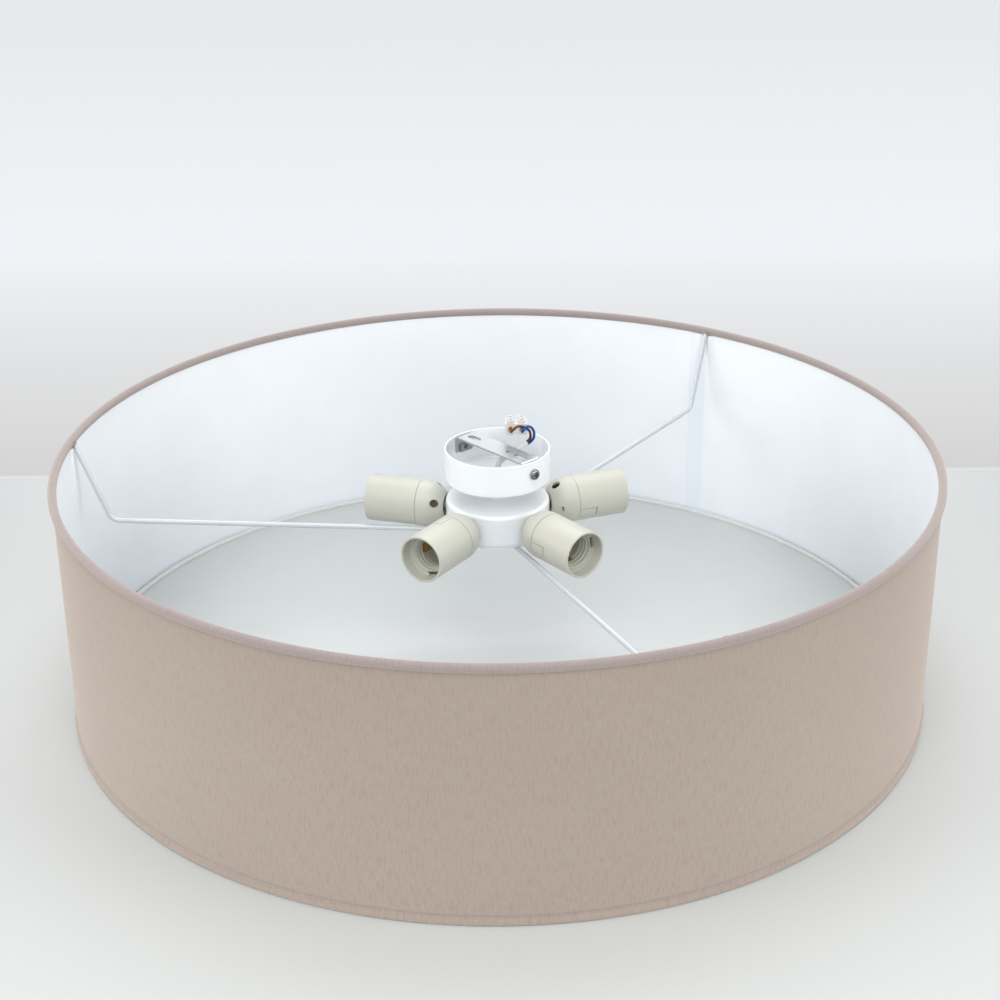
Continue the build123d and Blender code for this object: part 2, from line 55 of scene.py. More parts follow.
camera_data = bpy.data.cameras.new("camera")
camera_data.lens = camera_lens
camera_data.sensor_width = 36
camera_data.clip_end = 50
camera = bpy.data.objects.new("camera", camera_data)
turn = Matrix.Rotation(photo_turn + camera_heading, 4, "Z")
tilt = Matrix.Rotation(math.pi / 2 - camera_pitch, 4, "X")
roll = Matrix.Rotation(camera_roll, 4, "Z")
stand = -to_back * camera_distance + Vector((0, 0, camera_height))
camera.matrix_world = Matrix.Translation(stand) @ turn @ tilt @ roll
bpy.context.scene.collection.objects.link(camera)
bpy.context.scene.camera = camera


# ---- The table ----
# A pale matt table top, darker to the sides by painted shade. The tones behind it stand for the wall
# that it meets just behind the drum: painted light and shade on that wall, with a painted shadow line
# at its foot.
def node(tree, kind, **settings):
    """Adds a shader node with its settings."""
    made = tree.nodes.new("ShaderNode" + kind)
    for name, value in settings.items():
        setattr(made, name, value)
    return made


def new_material(name):
    """Material with only a Principled shader."""
    made = bpy.data.materials.new(name)
    made.use_nodes = True
    return made, made.node_tree, made.node_tree.nodes["Principled BSDF"]


def add_object(name, mesh, material=None):
    """Links a mesh or curve as an object."""
    made = bpy.data.objects.new(name, mesh)
    bpy.context.scene.collection.objects.link(made)
    if material:
        mesh.materials.append(material)
    return made


table_half_width = 12.0
table_top = -0.0002           # a hair under the drum, so that no faces coincide
table_colour = (0.64, 0.655, 0.65, 1)
# Painted shade: the table is multiplied towards this colour to its sides.
table_painted_side_shade = (0.76, 0.76, 0.765, 1)
table_side_reach = 0.60       # metres aside where the table is darkest
wall_distance = 0.412         # behind the drum's axis
# Tones of the wall, by metres behind the drum's axis: a painted shadow line where it meets the table,
# painted shade low behind the drum, and painted light rising and falling further up.
wall_painted_shading = ((0.413, (0.36, 0.36, 0.36, 1)), (0.417, (0.475, 0.47, 0.47, 1)),
              (0.75, (0.515, 0.515, 0.52, 1)), (1.20, (0.60, 0.615, 0.635, 1)),
              (2.9, (0.545, 0.555, 0.57, 1)))
wall_depth = 3.0
wall_line = 0.002             # width over which the table turns into the wall

table_mesh = bpy.data.meshes.new("table")
corners = [(x * table_half_width, y * table_half_width, table_top)
           for x, y in ((-1, -1), (1, -1), (1, 1), (-1, 1))]
table_mesh.from_pydata(corners, [], [(0, 1, 2, 3)])
table_paint, tree, shader = new_material("table_paint")
shader.inputs["Roughness"].default_value = 0.85
shader.inputs["Specular IOR Level"].default_value = 0.2
place = node(tree, "TexCoord")
depth = node(tree, "VectorMath", operation="DOT_PRODUCT")
depth.inputs[1].default_value = to_back
share = node(tree, "Math", operation="DIVIDE")
share.inputs[1].default_value = wall_depth
tone = node(tree, "ValToRGB")
tone.color_ramp.elements[0].position = (wall_distance - wall_line) / wall_depth
tone.color_ramp.elements[0].color = table_colour
tone.color_ramp.elements[1].position = wall_painted_shading[-1][0] / wall_depth
tone.color_ramp.elements[1].color = wall_painted_shading[-1][1]
for metres, colour in wall_painted_shading[:-1]:
    tone.color_ramp.elements.new(metres / wall_depth).color = colour
tree.links.new(place.outputs["Object"], depth.inputs[0])
tree.links.new(depth.outputs["Value"], share.inputs[0])
tree.links.new(share.outputs[0], tone.inputs["Fac"])
# Painted shade to the sides of the table, growing with the square of the distance aside, on the table
# only.
aside = node(tree, "VectorMath", operation="DOT_PRODUCT")
aside.inputs[1].default_value = to_right / table_side_reach
aside_squared = node(tree, "Math", operation="MULTIPLY")
on_table = node(tree, "Math", operation="LESS_THAN")
on_table.inputs[1].default_value = wall_distance
side_share = node(tree, "Math", operation="MULTIPLY")
side_share.use_clamp = True
shaded = node(tree, "Mix", data_type="RGBA", blend_type="MULTIPLY")
shaded.inputs[7].default_value = table_painted_side_shade
tree.links.new(place.outputs["Object"], aside.inputs[0])
for socket in aside_squared.inputs[:2]:
    tree.links.new(aside.outputs["Value"], socket)
tree.links.new(depth.outputs["Value"], on_table.inputs[0])
tree.links.new(aside_squared.outputs[0], side_share.inputs[0])
tree.links.new(on_table.outputs[0], side_share.inputs[1])
tree.links.new(side_share.outputs[0], shaded.inputs[0])
tree.links.new(tone.outputs["Color"], shaded.inputs[6])
tree.links.new(shaded.outputs[2], shader.inputs["Base Color"])
add_object("table", table_mesh, table_paint)


# ---- The light ----
# A pale room, one broad soft light over the camera, two low ones beside it that brighten
# the flanks of the drum, and a high one behind that fills its floor.
room_colour = (0.95, 0.975, 1.0, 1)
room_strength = 0.20
backdrop_strength = 0.85      # as the camera, the gloss and clear plastic see it
top_light = (0.985, 0.995, 1.0)
side_light = (1.0, 0.98, 0.95)
light_distance = 3
# Each light: degrees right of the camera, degrees above the table, strength, spread, colour.
soft_lights = {"light_over": (-3, 49, 1.98, 60, top_light),
               "light_behind": (180, 60, 2.05, 60, top_light),
               "light_left": (-74, 9, 1.88, 40, side_light),
               "light_right": (74, 9, 1.80, 40, side_light)}

world = bpy.data.worlds.new("room")
world.use_nodes = True
tree = world.node_tree
room = tree.nodes["Background"]
room.inputs["Color"].default_value = room_colour
rays = tree.nodes.new("ShaderNodeLightPath")
seen = node(tree, "Math", operation="MAXIMUM")
seen_through = node(tree, "Math", operation="MAXIMUM")
brightness = node(tree, "MapRange")
brightness.inputs["To Min"].default_value = room_strength
brightness.inputs["To Max"].default_value = backdrop_strength
tree.links.new(rays.outputs["Is Camera Ray"], seen.inputs[0])
tree.links.new(rays.outputs["Is Glossy Ray"], seen.inputs[1])
tree.links.new(seen.outputs[0], seen_through.inputs[0])
tree.links.new(rays.outputs["Is Transmission Ray"], seen_through.inputs[1])
tree.links.new(seen_through.outputs[0], brightness.inputs["Value"])
tree.links.new(brightness.outputs["Result"], room.inputs["Strength"])
bpy.context.scene.world = world
bpy.context.scene.view_settings.view_transform = "Standard"
for name, (aside, above, strength, spread, colour) in soft_lights.items():
    light_data = bpy.data.lights.new(name, "SUN")
    light_data.energy = strength
    light_data.angle = math.radians(spread)
    light_data.color = colour
    light = bpy.data.objects.new(name, light_data)
    aside, above = math.radians(aside), math.radians(above)
    level = -to_back * math.cos(aside) + to_right * math.sin(aside)
    towards = level * math.cos(above) + Vector((0, 0, math.sin(above)))
    light.location = towards * light_distance
    light.rotation_euler = towards.to_track_quat("Z", "Y").to_euler()
    bpy.context.scene.collection.objects.link(light)


# ---- The drum's cloth ----
# Taupe slub cloth laminated to film and rolled over a wire ring at the top and at the
# bottom. It is one strip, joined by an overlap beside the back arm.
def colour_group(name, colours, values, outputs):
    """Shader node group with colour and value inputs."""
    group = bpy.data.node_groups.new(name, "ShaderNodeTree")
    for title in colours:
        group.interface.new_socket(title, in_out="INPUT", socket_type="NodeSocketColor")
    for title in values:
        group.interface.new_socket(title, in_out="INPUT", socket_type="NodeSocketFloat")
    for title in outputs:
        kind = "NodeSocketColor" if title == "Color" else "NodeSocketFloat"
        group.interface.new_socket(title, in_out="OUTPUT", socket_type=kind)
    return group, group.nodes.new("NodeGroupInput"), group.nodes.new("NodeGroupOutput")


def math_node(tree, operation, first, second=None):
    """Math node fed by sockets or plain numbers."""
    made = tree.nodes.new("ShaderNodeMath")
    made.operation = operation
    for socket, value in zip(made.inputs, (first, second)):
        if isinstance(value, bpy.types.NodeSocket):
            tree.links.new(value, socket)
        elif value is not None:
            socket.default_value = value
    return made.outputs[0]


def mixed(tree, factor, first, second):
    """Colour mix fed by sockets."""
    made = tree.nodes.new("ShaderNodeMix")
    made.data_type = "RGBA"
    for socket, value in ((made.inputs[0], factor), (made.inputs[6], first), (made.inputs[7], second)):
        if isinstance(value, bpy.types.NodeSocket):
            tree.links.new(value, socket)
        else:
            socket.default_value = value
    return made.outputs[2]


def noise_of(tree, vector, scale, detail):
    """Noise texture's value."""
    made = tree.nodes.new("ShaderNodeTexNoise")
    made.inputs["Scale"].default_value = scale
    made.inputs["Detail"].default_value = detail
    tree.links.new(vector, made.inputs["Vector"])
    return made.outputs["Fac"]


def noise_mask(tree, noise_value, start, gain, most):
    """Mask that rises from 0 where the noise passes a start, up to a limit."""
    risen = math_node(tree, "MULTIPLY", math_node(tree, "SUBTRACT", noise_value, start), gain)
    return math_node(tree, "MINIMUM", math_node(tree, "MAXIMUM", risen, 0.0), most)


def stretched(tree, along, up, along_scale, up_scale):
    """Vector of drum coordinates, scaled each way."""
    made = tree.nodes.new("ShaderNodeCombineXYZ")
    tree.links.new(math_node(tree, "MULTIPLY", along, along_scale), made.inputs[0])
    tree.links.new(math_node(tree, "MULTIPLY", up, up_scale), made.inputs[1])
    return made.outputs[0]


drum_radius = 0.350
drum_height = 0.203
cloth_thickness = 0.0008
# Grains of the weave: cycles a metre round the drum and up it.
thread_grain = (1500, 190)
slub_grain = (620, 95)
weft_grain = (90, 1900)
cloud_grain = (5, 7)
light_thread_start, light_thread_gain, light_thread_most = 0.48, 3.2, 0.75
slub_start, slub_gain, slub_most = 0.50, 2.4, 0.4
cloud_start = 0.35
weft_relief = 0.6
slub_relief = 0.5

slub_cloth, given, made = colour_group(
    "slub_cloth", ("Cloth", "Light thread", "Dark thread"), ("Top shade", "Mottle"),
    ("Color", "Height"))
spot = slub_cloth.nodes.new("ShaderNodeTexCoord")
axes = slub_cloth.nodes.new("ShaderNodeSeparateXYZ")
slub_cloth.links.new(spot.outputs["Object"], axes.inputs[0])
around = math_node(slub_cloth, "ARCTAN2", axes.outputs[1], axes.outputs[0])
around = math_node(slub_cloth, "MULTIPLY", around, drum_radius)
up = axes.outputs[2]
threads = noise_of(slub_cloth, stretched(slub_cloth, around, up, *thread_grain), scale=1.0, detail=3.0)
slubs = noise_of(slub_cloth, stretched(slub_cloth, around, up, *slub_grain), scale=1.0, detail=2.0)
weft = noise_of(slub_cloth, stretched(slub_cloth, around, up, *weft_grain), scale=1.0, detail=2.0)
cloudy = noise_of(slub_cloth, stretched(slub_cloth, around, up, *cloud_grain), scale=1.0, detail=2.0)
light_mask = noise_mask(slub_cloth, threads, light_thread_start, light_thread_gain, light_thread_most)
dark_mask = noise_mask(slub_cloth, slubs, slub_start, slub_gain, slub_most)
colour = mixed(slub_cloth, light_mask, given.outputs["Cloth"], given.outputs["Light thread"])
colour = mixed(slub_cloth, dark_mask, colour, given.outputs["Dark thread"])
# Painted shade: the cloth is mixed towards its dark thread colour towards the top of the drum. The
# clouds darken it at random.
height_share = math_node(slub_cloth, "DIVIDE", up, drum_height)
painted_top_shade_mask = math_node(slub_cloth, "MULTIPLY", height_share, given.outputs["Top shade"])
cloud_mask = math_node(slub_cloth, "SUBTRACT", cloudy, cloud_start)
cloud_mask = math_node(slub_cloth, "MULTIPLY", cloud_mask, given.outputs["Mottle"])
painted_shade_and_mottle_mask = math_node(slub_cloth, "ADD", painted_top_shade_mask, cloud_mask)
painted_shade_and_mottle_mask = math_node(slub_cloth, "MAXIMUM", painted_shade_and_mottle_mask, 0.0)
colour = mixed(slub_cloth, painted_shade_and_mottle_mask, colour, given.outputs["Dark thread"])
relief = math_node(slub_cloth, "ADD", threads, math_node(slub_cloth, "MULTIPLY", weft, weft_relief))
relief = math_node(slub_cloth, "ADD", relief, math_node(slub_cloth, "MULTIPLY", slubs, slub_relief))
slub_cloth.links.new(colour, made.inputs["Color"])
slub_cloth.links.new(relief, made.inputs["Height"])


def group_node(tree, group, **values):
    """Places a node group and sets its inputs by name."""
    made = tree.nodes.new("ShaderNodeGroup")
    made.node_tree = group
    for name, value in values.items():
        made.inputs[name.replace("_", " ")].default_value = value
    return made


def bump(tree, height, shader, distance, strength=1.0):
    """Bump node between a height and a shader's normal."""
    made = tree.nodes.new("ShaderNodeBump")
    made.inputs["Distance"].default_value = distance
    made.inputs["Strength"].default_value = strength
    tree.links.new(height, made.inputs["Height"])
    tree.links.new(made.outputs["Normal"], shader.inputs["Normal"])


sheen_colour = (1.0, 0.90, 0.84, 1)
weave_relief = 0.00012
weave_strength = 0.5


def cloth_material(name, cloth, light, dark, painted_top_shade, mottle):
    """Slub cloth in three thread colours, with painted shade darkening it towards the top, and darker
    at random in clouds.
    """
    made, tree, shader = new_material(name)
    weave = group_node(tree, slub_cloth, Cloth=cloth, Light_thread=light, Dark_thread=dark,
                       Top_shade=painted_top_shade, Mottle=mottle)
    tree.links.new(weave.outputs["Color"], shader.inputs["Base Color"])
    shader.inputs["Roughness"].default_value = 0.92
    shader.inputs["Specular IOR Level"].default_value = 0.25
    shader.inputs["Sheen Weight"].default_value = 0.50
    shader.inputs["Sheen Roughness"].default_value = 0.62
    shader.inputs["Sheen Tint"].default_value = sheen_colour
    bump(tree, weave.outputs["Height"], shader, weave_relief, weave_strength)
    return made


wall_cloth = cloth_material(
    "taupe_cloth", cloth=(0.355, 0.291, 0.243, 1), light=(0.420, 0.354, 0.305, 1),
    dark=(0.268, 0.213, 0.183, 1), painted_top_shade=0.30, mottle=0.4)
# The top roll, the tabs and the cut edge are the same cloth, painted darker and greyer: painted shade
# on the roll, which catches more light from above.
hem_cloth_painted_shade = cloth_material(
    "taupe_hem_cloth", cloth=(0.300, 0.250, 0.240, 1), light=(0.345, 0.295, 0.285, 1),
    dark=(0.240, 0.198, 0.188, 1), painted_top_shade=0.0, mottle=0.3)

wire_radius = 0.002
roll_radius = 0.0034
# Centre of each wire in the section: radius and height.
upper_ring = (drum_radius - 0.0005, drum_height - roll_radius)
lower_ring = (drum_radius - 0.0020, roll_radius - 0.0004)
ring_steps = 720
back_arm_degrees = 102.3
joint_azimuth = math.radians(back_arm_degrees)
joint_width = 0.016
joint_step = 0.0005
joint_ramp = 0.0008            # either side of each edge of the overlap
outer_skin = 0.0006            # depth of the cloth that the overlap lifts
wall_wave = 0.0005


def arc(centre, radius, start, end, steps):
    """Points of an arc in a section, angles in degrees."""
    points = []
    for step in range(steps + 1):
        angle = math.radians(start + (end - start) * step / steps)
        points.append((centre[0] + radius * math.cos(angle), centre[1] + radius * math.sin(angle)))
    return points


def turned(name, section, steps, shift=None):
    """Closed section turned about the Z axis. shift(azimuth, radius, height) moves a point."""
    vertices = []
    for step in range(steps):
        azimuth = 2 * math.pi * step / steps
        for radius, height in section:
            if shift:
                radius, height = shift(azimuth, radius, height)
            vertices.append((radius * math.cos(azimuth), radius * math.sin(azimuth), height))
    count = len(section)
    faces = []
    for step in range(steps):
        here, there = step * count, (step + 1) % steps * count
        for point in range(count):
            after = (point + 1) % count
            faces.append((here + point, there + point, there + after, here + after))
    mesh = bpy.data.meshes.new(name)
    mesh.from_pydata(vertices, [], faces)
    return mesh


def outwards(mesh):
    """Makes the faces of a closed mesh face outwards."""
    work = bmesh.new()
    work.from_mesh(mesh)
    bmesh.ops.recalc_face_normals(work, faces=work.faces)
    work.to_mesh(mesh)
    work.free()


def smooth(mesh, angle=35):
    """Smooth shading, with edges sharper than the angle kept."""
    mesh.shade_smooth()
    mesh.set_sharp_from_angle(angle=math.radians(angle))


def azimuth_gap(azimuth, other):
    """Signed angle between two azimuths."""
    return (azimuth - other + math.pi) % (2 * math.pi) - math.pi


def step_up(value, low, high):
    """Smooth step from 0 to 1."""
    share = min(max((value - low) / (high - low), 0.0), 1.0)
    return share * share * (3 - 2 * share)


def overlap(azimuth, ramp):
    """1 where the strip overlaps itself and 0 elsewhere, with a ramp at each edge."""
    gap = azimuth_gap(azimuth, joint_azimuth) * drum_radius
    return step_up(gap, -ramp, ramp) * (1 - step_up(gap, joint_width - ramp, joint_width + ramp))


def slow_noise(azimuth, height, round_scale, up_scale):
    """Slow noise over the drum's wall, from -1 to 1."""
    return noise.noise(Vector((math.cos(azimuth) * round_scale, math.sin(azimuth) * round_scale,
                               height * up_scale)))


def cloth_shift(azimuth, radius, height):
    """The overlap stands proud outside, and the wall waves very slightly between its wires."""
    over = overlap(azimuth, joint_ramp)
    outside = step_up(radius, drum_radius - outer_skin, drum_radius)
    middle = math.sin(math.pi * min(max(height / drum_height, 0), 1))
    wave = slow_noise(azimuth, height, round_scale=3.1, up_scale=9) * wall_wave * middle
    return radius + over * joint_step * outside + wave, height


inner_wall = drum_radius - cloth_thickness
inner_roll = wire_radius + 0.0001   # the cloth's face on the wire
wall_rows = 14
# Each roll of the cloth round a wire: start and end in degrees, and steps.
lower_roll, lower_roll_inside = (118, 414, 40), (414, 128, 20)
upper_roll, upper_roll_inside = (-81, 250, 44), (240, -98, 20)
# The section runs up the outside, over the upper wire, and back down the inside.
section = arc(lower_ring, roll_radius, *lower_roll)
section = [(radius, max(height, 0.0)) for radius, height in section]
low_wall = section[-1][1]
high_wall = upper_ring[1] - math.sqrt(roll_radius ** 2 - (drum_radius - upper_ring[0]) ** 2)
for row in range(1, wall_rows):
    section.append((drum_radius, low_wall + (high_wall - low_wall) * row / wall_rows))
section += arc(upper_ring, roll_radius, *upper_roll)
section += arc(upper_ring, inner_roll, *upper_roll_inside)
for row in range(1, wall_rows):
    section.append((inner_wall, high_wall + (low_wall - high_wall) * row / wall_rows))
section += arc(lower_ring, inner_roll, *lower_roll_inside)
cloth_mesh = turned("drum_cloth", section, ring_steps, shift=cloth_shift)
outwards(cloth_mesh)
smooth(cloth_mesh)
cloth = add_object("drum_cloth", cloth_mesh, wall_cloth)
cloth_mesh.materials.append(hem_cloth_painted_shade)
# The top roll takes the darker copy of the cloth: painted shade.
for face in cloth_mesh.polygons:
    height = face.center.z
    if height > high_wall:
        face.material_index = 1
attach(cloth, "shade")
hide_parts("shade_cover", "upper_hem", "lower_hem")


# ---- The cloth's turned edge ----
# The cut edge of the cloth, glued flat on the outside above the lower wire, shows as one
# thin raised line all the way round.
edge_height = 0.0092
edge_width = 0.0022
edge_rise = 0.00022
edge_sink = 0.0002             # let into the wall
edge_bevel = 0.0002
edge_slope = 0.7               # share of its width where it has risen
section = [(drum_radius - edge_sink, edge_height - edge_width),
           (drum_radius + edge_rise, edge_height - edge_width * edge_slope),
           (drum_radius + edge_rise, edge_height - edge_bevel), (drum_radius - edge_sink, edge_height)]
edge_mesh = turned("cloth_edge", section, ring_steps)
outwards(edge_mesh)
smooth(edge_mesh, angle=20)
cloth_edge = add_object("cloth_edge", edge_mesh, hem_cloth_painted_shade)
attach(cloth_edge, "shade")


# ---- The liner ----
# White film behind the cloth. It bulges and creases where the arms press on it, and its overlap beside
# the back arm is painted as a faint darker, bluish band: painted shade.
grain, given, made = colour_group(
    "fine_grain", ("Base", "Shade"), ("Scale", "Low roughness", "High roughness"),
    ("Color", "Roughness", "Height"))
spot = grain.nodes.new("ShaderNodeTexCoord")
speck = grain.nodes.new("ShaderNodeTexNoise")
speck.inputs["Detail"].default_value = 3.0
grain.links.new(spot.outputs["Object"], speck.inputs["Vector"])
grain.links.new(given.outputs["Scale"], speck.inputs["Scale"])
patch_grain = 22.0             # cycles a metre
patches = noise_of(grain, spot.outputs["Object"], patch_grain, detail=3.0)
low_rough = given.outputs["Low roughness"]
rough_range = math_node(grain, "SUBTRACT", given.outputs["High roughness"], low_rough)
rough = math_node(grain, "MULTIPLY", rough_range, speck.outputs["Fac"])
rough = math_node(grain, "ADD", low_rough, rough)
blotch = math_node(grain, "MULTIPLY", patches, math_node(grain, "ADD", speck.outputs["Fac"], 0.5))
colour = mixed(grain, blotch, given.outputs["Base"], given.outputs["Shade"])
grain.links.new(colour, made.inputs["Color"])
grain.links.new(rough, made.inputs["Roughness"])
grain.links.new(speck.outputs["Fac"], made.inputs["Height"])
coat_roughness = 0.08


def plain_finish(name, colour, scale, low, high, relief=0.00001,
                 metallic=0.0, coat=0.0, specular=0.5, shade=0.93):
    """One colour, a little darker in places, with a fine grain in its gloss and surface.

    scale is the grain in cycles a metre, low and high are its roughness, and shade is the
    darker places' share of the colour.
    """
    made, tree, shader = new_material(name)
    shader.inputs["Metallic"].default_value = metallic
    shader.inputs["Coat Weight"].default_value = coat
    shader.inputs["Coat Roughness"].default_value = coat_roughness
    shader.inputs["Specular IOR Level"].default_value = specular
    darker = [channel * shade for channel in colour[:3]] + [1]
    fine = group_node(tree, grain, Base=colour, Shade=darker, Scale=scale,
                      Low_roughness=low, High_roughness=high)
    tree.links.new(fine.outputs["Color"], shader.inputs["Base Color"])
    tree.links.new(fine.outputs["Roughness"], shader.inputs["Roughness"])
    bump(tree, fine.outputs["Height"], shader, relief)
    return made


liner_thickness = 0.0008
liner_radius = inner_wall - liner_thickness
liner_film = plain_finish("white_film", (0.885, 0.915, 0.950, 1), 900, 0.55, 0.75, relief=0.00002,
                          specular=0.3)
# The overlap: the same film, painted darker and bluer as shade.
lapped_film_painted_shade = plain_finish("lapped_film_painted_shade", (0.835, 0.88, 0.94, 1), 900, 0.50, 0.70, relief=0.00002,
                           specular=0.35)
arm_azimuths = [math.radians(back_arm_degrees + 120 * number) for number in range(3)]
# Each crease: azimuth gap from its arm at the top, gap at its foot, height of its foot, depth.
creases = {0: [(-0.006, -0.020, 0.118, 0.0024), (0.012, 0.055, 0.118, 0.0012)],
           1: [(0.010, 0.030, 0.125, 0.0020), (-0.012, -0.050, 0.140, 0.0008)],
           2: [(0.008, 0.028, 0.120, 0.0009), (-0.010, -0.040, 0.130, 0.0007)]}
crease_width = 0.0016
crease_spread = 0.009          # how much wider each crease is at its foot
crease_fade = 0.50             # share of the way down where it begins to fade
lap_step = 0.00035
lap_ramp = 0.0006
bulge = 0.0004


def liner_shift(azimuth, radius, height):
    """Inner face with its creases, bulges and overlap; the outer face stays on the cloth."""
    if radius > liner_radius + liner_thickness / 2:
        return radius, height
    inwards = 0.0
    for number, arm in enumerate(arm_azimuths):
        for top_gap, foot_gap, foot, depth in creases[number]:
            share = (drum_height - height) / (drum_height - foot)
            if not 0 <= share <= 1:
                continue
            middle = arm + top_gap + (foot_gap - top_gap) * share
            width = crease_width + crease_spread * share
            gap = azimuth_gap(azimuth, middle) * drum_radius
            fade = 1 - step_up(share, crease_fade, 1.0)
            inwards += depth * fade * math.exp(-(gap / width) ** 2)
    inwards += overlap(azimuth, lap_ramp) * lap_step
    inwards += bulge * (1 + slow_noise(azimuth, height, round_scale=2.4, up_scale=7))
    return radius - inwards, height


liner_rows = 30
liner_steps = 1440
liner_gap = 0.00002            # to the cloth, so that no faces coincide
# The film ends beside each roll of the cloth.
liner_low, liner_high = lower_ring[1] + 0.0030, upper_ring[1] - 0.0032
section = []
for row in range(liner_rows + 1):
    section.append((liner_radius, liner_low + (liner_high - liner_low) * row / liner_rows))
section += [(inner_wall - liner_gap, liner_high), (inner_wall - liner_gap, liner_low)]
liner_mesh = turned("drum_liner", section, liner_steps, shift=liner_shift)
outwards(liner_mesh)
smooth(liner_mesh)
liner = add_object("drum_liner", liner_mesh, liner_film)
liner_mesh.materials.append(lapped_film_painted_shade)
for face in liner_mesh.polygons:
    gap = azimuth_gap(math.atan2(face.center.y, face.center.x), joint_azimuth) * drum_radius
    if 0 < gap < joint_width:
        face.material_index = 1
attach(liner, "shade")
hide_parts("shade_liner")


# ---- The wires ----
# The two rings are bare drawn steel inside the rolled cloth. The arms are the same wire,
# welded to a centre ring and dipped in white paint.
ring_steel = plain_finish("drawn_steel", (0.52, 0.52, 0.53, 1), 1400, 0.28, 0.45, metallic=1.0)
white_paint = plain_finish("white_paint", (0.60, 0.63, 0.66, 1), 260, 0.16, 0.30, relief=0.000015,
                           coat=0.35)


def finish_node(name, material):
    """Gives a carried-over node its finish."""
    mesh = cad[name].data
    mesh.materials.clear()
    mesh.materials.append(material)


for name in ("upper_ring_wire", "lower_ring_wire"):
    finish_node(name, ring_steel)
for name in ("spider_arm_1", "spider_arm_2", "spider_arm_3", "spider_ring"):
    finish_node(name, white_paint)


# ---- The cloth tabs ----
# Where an arm reaches the upper wire, the rolled cloth is slit and its corner is folded
# down round the arm's end.
tab_width = 0.0075
tab_drop = 0.0072
tab_thickness = 0.0009
tab_rows = 5
tab_columns = (-1, -0.35, 0.35, 1)
tab_lean = 0.0012
tab_taper = 0.45               # share of its width that the tab loses by its tip
tab_belly = 0.0008
tab_stand = 0.0003             # clear of the rolled cloth
tab_start = 0.0012             # above the wire
tab_over_arm = 0.0019          # how far its middle stands in, over the arm
tab_seed = 40
for number, arm in enumerate(arm_azimuths):
    work = bmesh.new()
    grid = []
    seed = random.Random(tab_seed + number)
    lean = seed.uniform(-tab_lean, tab_lean)
    for row in range(tab_rows + 1):
        share = row / tab_rows
        half = tab_width / 2 * (1 - tab_taper * share ** 2)
        out = upper_ring[0] - roll_radius - tab_stand + tab_belly * math.sin(share * math.pi)
        line = []
        for side in tab_columns:
            over_arm = -tab_over_arm * (1 - abs(side)) ** 0.5
            across = side * half + lean * share
            azimuth = arm + across / drum_radius
            radius = out + over_arm
            height = upper_ring[1] + tab_start - share * tab_drop
            place = (radius * math.cos(azimuth), radius * math.sin(azimuth), height)
            line.append(work.verts.new(place))
        grid.append(line)
    for row in range(tab_rows):
        above, below = grid[row], grid[row + 1]
        for column in range(len(tab_columns) - 1):
            work.faces.new((above[column], above[column + 1], below[column + 1], below[column]))
    mesh = bpy.data.meshes.new(f"cloth_tab_{number + 1}")
    work.to_mesh(mesh)
    work.free()
    tab = add_object(f"cloth_tab_{number + 1}", mesh, hem_cloth_painted_shade)
    thick = tab.modifiers.new("thick", "SOLIDIFY")
    thick.thickness = tab_thickness
    thick.offset = 0
    soft = tab.modifiers.new("soft", "SUBSURF")
    soft.levels = 2
    soft.render_levels = 2
    mesh.shade_smooth()
    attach(tab, "shade")


# ---- The diffuser ----
# A disc of satin opal sheet cemented into a moulded hoop of the same white, lying loose
# on the rolled cloth at the bottom of the drum.
opal = plain_finish("opal_sheet", (0.52, 0.535, 0.53, 1), 700, 0.30, 0.42, coat=0.5, specular=0.6)
hoop_white = plain_finish("hoop_white", (0.62, 0.645, 0.635, 1), 700, 0.30, 0.42)
finish_node("diffuser_panel", opal)
finish_node("diffuser_hoop", hoop_white)


# ---- The canopy and the hub ----
# Two pressed steel cups in white gloss paint, with a sleeve between them and a disc that
# closes the lower one.
gloss_paint = plain_finish("gloss_paint", (0.90, 0.925, 0.95, 1), 220, 0.12, 0.24, relief=0.00002,
                           coat=0.6)
for name in ("canopy", "hub_body", "hub_base_plate", "stem_sleeve"):
    finish_node(name, gloss_paint)


# ---- The bracket, the stem and their fasteners ----
# Zinc plated steel: the strap and its nuts, the threaded stem, its lock nuts, the nut and
# washer that hold the shade, and the screws.
zinc = plain_finish("zinc_plate", (0.49, 0.525, 0.54, 1), 900, 0.30, 0.46, metallic=0.9, shade=0.86)
dull_zinc = plain_finish("dull_zinc", (0.36, 0.37, 0.38, 1), 900, 0.30, 0.50, metallic=1.0, shade=0.8)
nickel = plain_finish("nickel_plate", (0.27, 0.26, 0.25, 1), 900, 0.12, 0.24, metallic=1.0, shade=0.8)
# The grub screws in the domes' side holes are painted dark brown: painted shade inside the holes.
screw_in_painted_shade = plain_finish("screw_in_painted_shade", (0.16, 0.11, 0.07, 1), 900, 0.30, 0.50, metallic=0.9, shade=0.6)
for name in ("ceiling_bracket", "stem_tube", "shade_nut", "shade_washer"):
    finish_node(name, zinc)
for name in ("bracket_nuts", "stem_lock_nuts", "holder_nipples", "holder_nuts"):
    finish_node(name, dull_zinc)
for name in ("canopy_screw_1", "canopy_screw_2", "terminal_screws"):
    finish_node(name, nickel)
finish_node("nipple_screws", screw_in_painted_shade)


